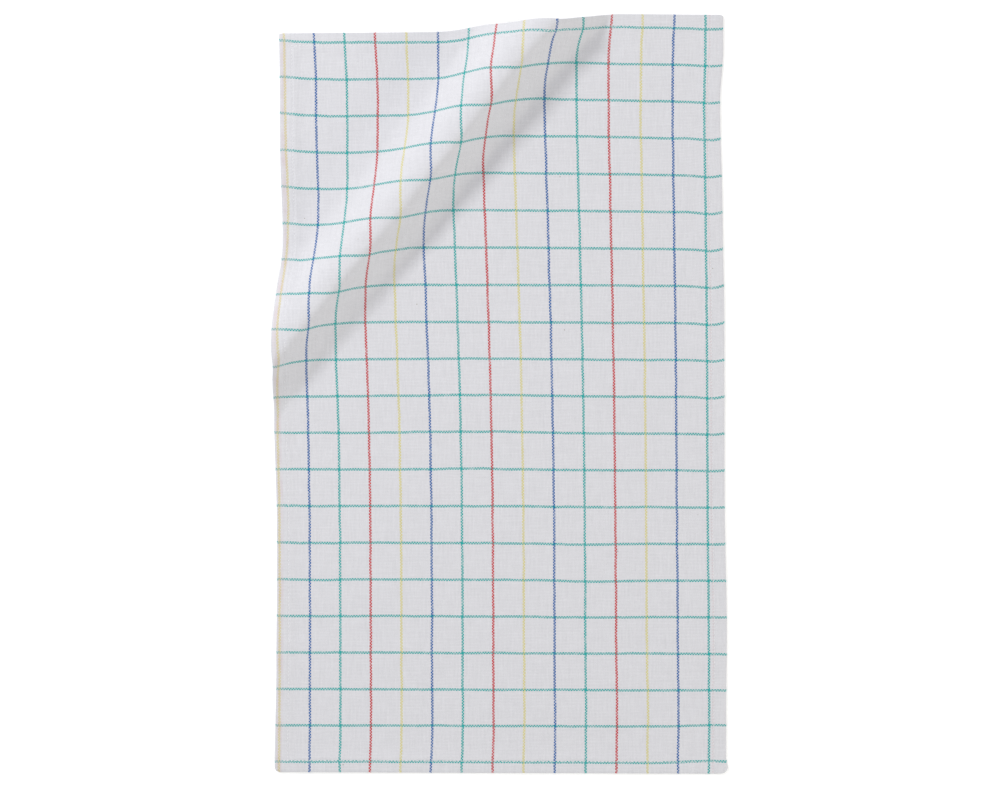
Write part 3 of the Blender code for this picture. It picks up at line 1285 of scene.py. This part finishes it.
@dataclass
class TowelCloth:
    """The woven cloth with its turned hems: one closed sheet."""

    lay: Lay = field(default_factory=Lay)
    hem: Hem = field(default_factory=Hem)
    relief: Relief = field(default_factory=Relief)
    weave: Weave = field(default_factory=Weave)
    finish: Cotton = field(default_factory=Cotton)
    cell: float = 0.0031
    lines_in_roll: tuple[float, ...] = (0.0, 0.12, 0.4, 1.0)
    lines_in_hem: tuple[float, ...] = (
        0.0032, 0.0058, 0.0084, 0.0104, 0.0113, 0.0120, 0.0127, 0.0134,
    )
    lines_past_hem: tuple[float, ...] = (0.0162, 0.0185)
    name: str = "towel_cloth"
    normal_step: float = 0.0004

    def __post_init__(self) -> None:
        """Finds how far the laid cloth has to move to sit where its solid does."""
        across, down = np.meshgrid(*self.stations())
        u, v = self.lay.cloth(across, down)
        base = self.lay.place(u, v)
        sway_x, sway_y = swayed(CLOTH_SWAYS, u, v)
        plain_x, plain_y = base[..., 0] - sway_x, base[..., 1] - sway_y
        low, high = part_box(CLOTH_NODE)
        shift_x = (low[0] + high[0] - plain_x.min() - plain_x.max()) / 2
        shift_y = (low[1] + high[1] - plain_y.min() - plain_y.max()) / 2
        self.offset = np.array([shift_x, shift_y, low[2]])

    def stations(self) -> tuple[Array, Array]:
        """Places the grid's lines, closer together along the hems.

        Returns:
            Distances across and distances down at which there is a line.
        """
        rim = [share * self.hem.edge_roll for share in self.lines_in_roll]
        rim += [*self.lines_in_hem, self.hem.width, self.hem.width + self.hem.step]
        rim += self.lines_past_hem
        both = []
        for size in (self.lay.width, self.lay.length):
            inner = rim[-1] + self.cell
            steps = round((size - 2 * inner) / self.cell)
            middle = np.linspace(inner, size - inner, steps + 1)
            far = size - np.array(rim[::-1])
            both.append(np.concatenate([rim, middle, far]))
        return both[0], both[1]

    def inward(self, across: Array, down: Array) -> dict[Side, Array]:
        """The distance of each point from each of the four edges."""
        return {
            Side.LEFT: across,
            Side.RIGHT: self.lay.width - across,
            Side.TOP: down,
            Side.BOTTOM: self.lay.length - down,
        }

    def from_stitches(self, across: Array, down: Array) -> Array:
        """Finds the distance from the nearest row of stitches.

        Args:
            across: distance from the left edge.
            down: distance from the top edge.

        Returns:
            The distance at each point.
        """
        nearest = np.full_like(across, 1.0)
        for side, inward in self.inward(across, down).items():
            share = across / self.lay.width if side.is_end else down / self.lay.length
            nearest = np.minimum(nearest, np.abs(inward - self.hem.stitch_inset(side, share)))
        return nearest

    def levels(self, across: Array, down: Array) -> tuple[Array, Array]:
        """Works out how far the two faces stand off the smooth laid surface.

        Args:
            across: distance from the left edge.
            down: distance from the top edge.

        Returns:
            The levels of the back and of the right side.
        """
        hem = self.hem
        u, v = self.lay.cloth(across, down)
        inward = self.inward(across, down)
        side = np.minimum(inward[Side.LEFT], inward[Side.RIGHT])
        end = np.minimum(inward[Side.TOP], inward[Side.BOTTOM])
        edge = np.minimum(side, end)
        lifted = np.maximum(hem.lift(side), hem.lift(end))
        on_hem = 1.0 - ease((edge - hem.width) / hem.step)
        on_both = 1.0 - ease((side - hem.corner_size) / hem.corner_fades_over)
        on_both = on_both * (1.0 - ease((end - hem.corner_size) / hem.corner_fades_over))
        extra = hem.corner_layers * hem.layer * on_both * ease(edge / hem.corner_rises_over)
        from_stitches = self.from_stitches(across, down)
        groove = hem.groove_depth * bell(from_stitches / hem.groove_width)
        on_fold = ease(self.lay.place(u, v)[..., 2] / self.relief.full_fold_height)
        rise = self.relief.rise(u, v, from_stitches, on_fold)
        free = np.maximum(rise, self.relief.lowest)
        past_hem = ease((edge - hem.width) / hem.stiff_fades_over)
        stiff = hem.relief_on_hem + (1.0 - hem.relief_on_hem) * past_hem
        back = np.maximum(free * stiff, 0.0) + lifted * (1.0 - on_hem)
        back = back + hem.groove_on_back * groove * on_hem
        thick = hem.layer + (hem.thickness - hem.layer) * on_hem + extra
        right_side = back + thick + np.minimum(rise, 0.0) * stiff - groove
        right_side = np.maximum(right_side, back + hem.least_thickness * hem.layer)
        waist = 0.5 * (back + right_side)
        rolled = hem.rolled(edge)
        return waist + (back - waist) * rolled, waist + (right_side - waist) * rolled

    def surface(self, across: Array, down: Array, face: Face) -> Array:
        """Gives points on one face of the laid cloth.

        Args:
            across: distance from the left edge.
            down: distance from the top edge.
            face: which face.

        Returns:
            Their positions, in the last axis.
        """
        step = self.normal_step
        moves = ((0.0, 0.0), (step, 0.0), (-step, 0.0), (0.0, step), (0.0, -step))
        around = [self.lay.cloth(across + right, down + below) for right, below in moves]
        base, right, left, below, above = [self.lay.place(u, v) for u, v in around]
        normal = np.cross(right - left, above - below)
        normal /= np.linalg.norm(normal, axis=-1, keepdims=True)
        back, right_side = self.levels(across, down)
        level = right_side if face is Face.RIGHT_SIDE else back
        return base + normal * level[..., None] + self.offset

    def build(self) -> bpy.types.Object:
        """Builds the closed sheet, with its two faces joined along the rim.

        Returns:
            The cloth.
        """
        across, down = np.meshgrid(*self.stations())
        top = self.surface(across, down, Face.RIGHT_SIDE)
        under = self.surface(across, down, Face.BACK)
        rows, columns = across.shape
        number = np.arange(rows * columns).reshape(rows, columns)
        inner = np.zeros_like(number, bool)
        inner[1:-1, 1:-1] = True
        under_number = number.copy()
        under_number[inner] = rows * columns + np.arange(inner.sum())
        points = np.concatenate([top.reshape(-1, 3), under[inner]])
        points[:, 2] = np.maximum(points[:, 2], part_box(CLOTH_NODE)[0][2])
        faces = self.quads(number, flip=False) + self.quads(under_number, flip=True)
        cloth = link(self.name, points, faces)
        self.map_faces(cloth, across, down)
        return cloth

    @staticmethod
    def at_corners(grid: Array, flip: bool) -> Array:
        """Reads a grid of values at the four corners of each of its cells.

        Args:
            grid: values at the grid's points, with rows running down.
            flip: whether to go round each cell the other way.

        Returns:
            Four values for each cell, in the order of its face's corners.
        """
        corners = [grid[:-1, :-1], grid[1:, :-1], grid[1:, 1:], grid[:-1, 1:]]
        if flip:
            corners.reverse()
        return np.stack([corner.ravel() for corner in corners], axis=-1)

    def quads(self, number: Array, flip: bool) -> list[tuple[int, ...]]:
        """Makes the faces of a grid of numbered points, looking down if they are flipped."""
        return [tuple(four) for four in self.at_corners(number, flip).tolist()]

    def weave_place(self, across: Array, down: Array) -> tuple[Array, Array]:
        """Finds which place in the weave is at each point of the panel.

        Args:
            across: distance from the left edge.
            down: distance from the top edge.

        Returns:
            Distances across and down from the first pair of the first lines.
        """
        u, v = self.lay.cloth(across, down)
        sway_u, sway_v = swayed(YARN_SWAYS, u, v)
        weave = self.weave
        from_left = u - sway_u + self.lay.width / 2 - weave.first_warp_line + weave.warp_pair
        from_top = self.lay.length / 2 - v + sway_v - weave.first_weft_line + weave.weft_pair
        return from_left, from_top

    def map_faces(self, cloth: bpy.types.Object, across: Array, down: Array) -> None:
        """Gives every face corner its place in the weave and on the panel.

        On the back, the hem shows the cloth that is turned under, so its weave runs on past the
        edge there. The back attribute says which yarns are on top.

        Args:
            cloth: the cloth.
            across: distance of each grid point from the left edge.
            down: distance of each grid point from the top edge.
        """
        u, v = self.weave_place(across, down)
        turned = self.hem.width + self.hem.step
        on_back = []
        sides = ((u, across, self.lay.width, 1), (v, down, self.lay.length, 0))
        for place, measure, size, axis in sides:
            middle = self.at_corners(measure, flip=True).mean(axis=-1, keepdims=True)
            turning = self.at_corners(place, flip=True)
            for end, on_hem in ((0, middle < turned), (-1, middle > size - turned)):
                rim = np.broadcast_to(np.take(place, [end], axis=axis), place.shape)
                edge = self.at_corners(rim, flip=True)
                turning = np.where(on_hem, 2 * edge - turning, turning)
            on_back.append(turning)
        on_front = [self.at_corners(u, flip=False), self.at_corners(v, flip=False)]
        in_weave = np.concatenate([np.stack(on_front, axis=-1), np.stack(on_back, axis=-1)])
        on_panel = np.concatenate(
            [
                np.stack([self.at_corners(across, flip), self.at_corners(down, flip)], axis=-1)
                for flip in (False, True)
            ]
        )
        for name, places in (("weave", in_weave), ("panel", on_panel)):
            layer = cloth.data.uv_layers.new(name=name)
            layer.data.foreach_set("uv", places.ravel().astype(np.float32))
        back = cloth.data.attributes.new("back", "FLOAT", "FACE")
        back.data.foreach_set("value", np.repeat([0.0, 1.0], len(on_back[0])).astype(np.float32))

    def dress(self, cloth: bpy.types.Object) -> None:
        """Puts the cotton on the cloth."""
        cloth.data.materials.append(self.finish.build(self.weave, self.lay))


@dataclass
class HemStitching:
    """The rows of stitches that hold the hems, on both faces of the cloth."""

    cloth: TowelCloth
    finish: Thread = field(default_factory=Thread)
    pitch: float = 0.0037
    gap: float = 0.0012
    margin: float = 0.0085
    radius: float = 0.00037
    rings: int = 5
    sides: int = 6
    wobble: float = 0.00018
    wobble_turns: tuple[float, float] = (310.0, 127.0)
    sink: tuple[float, float] = (0.75, 0.90)
    bow: tuple[float, float] = (1.25, 0.55)
    bow_power: float = 0.5
    end_thickness: float = 0.35
    taper_power: float = 0.4
    name: str = "hem_stitches"

    def rows(self) -> list[tuple[Array, Array]]:
        """Places the two ends of every stitch.

        Returns:
            Panel coordinates of the ends: for each row, an array of starts and one of ends.
        """
        lay, hem = self.cloth.lay, self.cloth.hem
        found = []
        for side in Side:
            run, size = (lay.width, lay.length) if side.is_end else (lay.length, lay.width)
            count = int((run - 2 * self.margin) / self.pitch)
            start = self.margin + np.arange(count) * self.pitch
            pair = []
            for at in (start, start + self.pitch - self.gap):
                first, second = self.wobble_turns
                wander = self.wobble * np.sin(at * first) * np.cos(at * second)
                inset = hem.stitch_inset(side, at / run) + wander
                place = size - inset if side in (Side.RIGHT, Side.BOTTOM) else inset
                pair.append(np.stack([at, place] if side.is_end else [place, at], -1))
            found.append((pair[0], pair[1]))
        return found

    def build(self) -> bpy.types.Object:
        """Builds every stitch as a short thread that dips into the cloth at both ends.

        Returns:
            The joined stitches.
        """
        starts, ends = [np.concatenate(places) for places in zip(*self.rows())]
        threads = np.stack([self.threads(face, starts, ends) for face in Face])
        numbers = np.arange(threads.size // 3).reshape(threads.shape[:-1])
        faces = [face for number in numbers for face in self.skin(number)]
        stitches = link(self.name, threads.reshape(-1, 3), faces)
        places = np.tile(self.places(len(starts)), (len(Face), 1))
        layer = stitches.data.uv_layers.new(name="thread")
        layer.data.foreach_set("uv", places.ravel().astype(np.float32))
        return stitches

    def threads(self, face: Face, starts: Array, ends: Array) -> Array:
        """Places the threads on one face of the cloth.

        On the back the threads lie deeper in the cloth, so that they bow out less.

        Args:
            face: which face of the cloth.
            starts: panel coordinates of the stitches' starts.
            ends: panel coordinates of their ends.

        Returns:
            Points by stitch, ring and side of the thread, with positions in the last axis.
        """
        shares = np.linspace(0.0, 1.0, self.rings)
        along = starts[:, None, :] + (ends - starts)[:, None, :] * shares[None, :, None]
        middle = self.cloth.surface(along[..., 0], along[..., 1], face)
        other = self.cloth.surface(along[..., 0], along[..., 1], face.other)
        run = middle[:, -1] - middle[:, 0]
        run /= np.linalg.norm(run, axis=-1, keepdims=True)
        out = (middle - other).mean(axis=1)
        out /= np.linalg.norm(out, axis=-1, keepdims=True)
        side = np.cross(run, out)
        on_back = int(face is Face.BACK)
        arc = np.sin(np.pi * shares)
        rise = self.radius * (self.bow[on_back] * arc**self.bow_power - self.sink[on_back])
        swell = (1.0 - self.end_thickness) * arc**self.taper_power
        thick = self.radius * (self.end_thickness + swell)
        middle = middle + out[:, None, :] * rise[None, :, None]
        angle = np.arange(self.sides)[:, None] * 2.0 * math.pi / self.sides
        ring = np.cos(angle) * side[:, None, None, :] + np.sin(angle) * out[:, None, None, :]
        return middle[:, :, None, :] + ring * thick[None, :, None, None]

    @staticmethod
    def skin(number: Array) -> list[tuple[int, ...]]:
        """Makes the walls and then the end caps of the threads on one face of the cloth.

        Args:
            number: point numbers, by stitch, ring and side of the thread.

        Returns:
            The faces.
        """
        following = np.roll(number, -1, axis=2)
        around = [number[:, :-1], following[:, :-1], following[:, 1:], number[:, 1:]]
        walls = np.stack(around, axis=-1).reshape(-1, 4)
        caps = np.stack([number[:, 0, ::-1], number[:, -1]], axis=1)
        caps = caps.reshape(-1, number.shape[-1])
        return [tuple(face) for block in (walls, caps) for face in block.tolist()]

    def places(self, count: int) -> Array:
        """Gives the place of each face corner of a number of threads, in the order of skin().

        Args:
            count: how many threads there are.

        Returns:
            Turns round the thread and metres along it. An end cap is at 0.
        """
        turn = np.arange(self.sides) / self.sides
        length = np.linspace(0.0, 1.0, self.rings) * (self.pitch - self.gap)
        before, start = np.meshgrid(turn, length[:-1])
        _, end = np.meshgrid(turn, length[1:])
        after = before + 1.0 / self.sides
        around = ((before, start), (after, start), (after, end), (before, end))
        corners = np.stack([np.stack(corner, axis=-1) for corner in around], axis=2)
        walls = np.tile(corners.reshape(-1, 2), (count, 1))
        return np.concatenate([walls, np.zeros((count * 2 * self.sides, 2))])

    def dress(self, stitches: bpy.types.Object) -> None:
        """Puts the thread's finish on the stitches."""
        stitches.data.materials.append(self.finish.build())


# ---------------------------------------------------------------------------------- the studio


@dataclass(frozen=True)
class Softbox:
    """A square light that looks at the middle of the towel."""

    name: str
    direction: tuple[float, float, float]
    distance: float
    size: float
    power: float
    colour: tuple[float, float, float]

    def build(self) -> None:
        """Hangs the light."""
        data = bpy.data.lights.new(self.name, "AREA")
        data.shape = "SQUARE"
        data.size = self.size
        data.energy = self.power
        data.color = self.colour
        light = bpy.data.objects.new(self.name, data)
        direction = Vector(self.direction).normalized()
        light.location = direction * self.distance
        light.rotation_mode = "QUATERNION"
        light.rotation_quaternion = direction.to_track_quat("Z", "Y")
        bpy.context.scene.collection.objects.link(light)


@dataclass
class Studio:
    """A plain pale floor, a key light from behind the fold, a low fill, and a camera above."""

    floor_size: float = 24.0
    floor_gap: float = 0.0004
    floor_colour: Colour = (0.96, 0.96, 0.96, 1.0)
    floor_glow: float = 0.13
    floor_patches: float = 0.99
    floor_patch_scale: float = 3.0
    floor_roughness: float = 0.9
    floor_specular: float = 0.1
    camera_height: float = 2.6
    camera_y: float = 0.00035
    seen_width: float = 1.0
    sensor: float = 36.0
    seen_distance: float = 20.0
    key: Softbox = Softbox(
        name="key_light",
        direction=(-0.77, 0.64, 0.70),
        distance=2.4,
        size=0.36,
        power=26.2,
        colour=(0.99, 1.0, 1.0),
    )
    fill: Softbox = Softbox(
        name="fill_light",
        direction=(0.85, -0.45, 0.31),
        distance=2.4,
        size=1.1,
        power=15.0,
        colour=(1.0, 0.975, 0.82),
    )
    sky_strength: float = 0.780

    def build_floor(self) -> None:
        """Lays the floor just under the towel."""
        half = self.floor_size / 2
        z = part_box(CLOTH_NODE)[0][2] - self.floor_gap
        corners = [(-half, -half, z), (half, -half, z), (half, half, z), (-half, half, z)]
        floor = link("floor", np.array(corners), [(0, 1, 2, 3)])
        constants = {"Roughness": self.floor_roughness, "Specular IOR Level": self.floor_specular}
        constants |= {"Emission Color": WHITE, "Emission Strength": self.floor_glow}
        material, g, shader = new_material("pale_floor", constants)
        place = g.add("TexCoord").outputs["Object"]
        cloud = g.noise(place, self.floor_patch_scale, 2.0).outputs["Fac"]
        dim = tuple(self.floor_patches * c for c in self.floor_colour[:3]) + (1.0,)
        g.feed(shader.inputs["Base Color"], g.mix(cloud, self.floor_colour, dim))
        floor.data.materials.append(material)

    def build_light(self) -> None:
        """Hangs the two lights and evens them out with a pale sky."""
        self.key.build()
        self.fill.build()
        world = bpy.data.worlds.new("studio")
        world.use_nodes = True
        sky = world.node_tree.nodes["Background"]
        sky.inputs["Color"].default_value = WHITE
        sky.inputs["Strength"].default_value = self.sky_strength
        bpy.context.scene.world = world

    def build_camera(self) -> None:
        """Puts the camera straight above the towel."""
        data = bpy.data.cameras.new("camera")
        data.sensor_width = self.sensor
        data.lens = self.sensor * self.camera_height / self.seen_width
        data.clip_end = self.seen_distance
        camera = bpy.data.objects.new("camera", data)
        camera.location = (0.0, self.camera_y, self.camera_height)
        bpy.context.scene.collection.objects.link(camera)
        bpy.context.scene.camera = camera
        bpy.context.scene.view_settings.view_transform = "Standard"
        # A filtered guide for noise removal would smooth the weave away.
        bpy.context.scene.cycles.denoising_prefilter = "NONE"

    def build(self) -> None:
        """Builds the camera, the floor and the lights."""
        self.build_camera()
        self.build_floor()
        self.build_light()


def main() -> None:
    """Builds the studio, then the towel's pieces in the order in which they are made."""
    logging.basicConfig(level=logging.INFO, format="%(name)s: %(message)s")
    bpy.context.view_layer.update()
    Studio().build()

    towel = TowelCloth()
    cloth = towel.build()
    towel.dress(cloth)
    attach(cloth, BODY)
    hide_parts(CLOTH_NODE)
    LOG.info("%s: %d faces", cloth.name, len(cloth.data.polygons))

    stitching = HemStitching(cloth=towel)
    stitches = stitching.build()
    stitching.dress(stitches)
    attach(stitches, BODY)
    LOG.info("%s: %d faces", stitches.name, len(stitches.data.polygons))


if __name__ == "__main__":
    main()
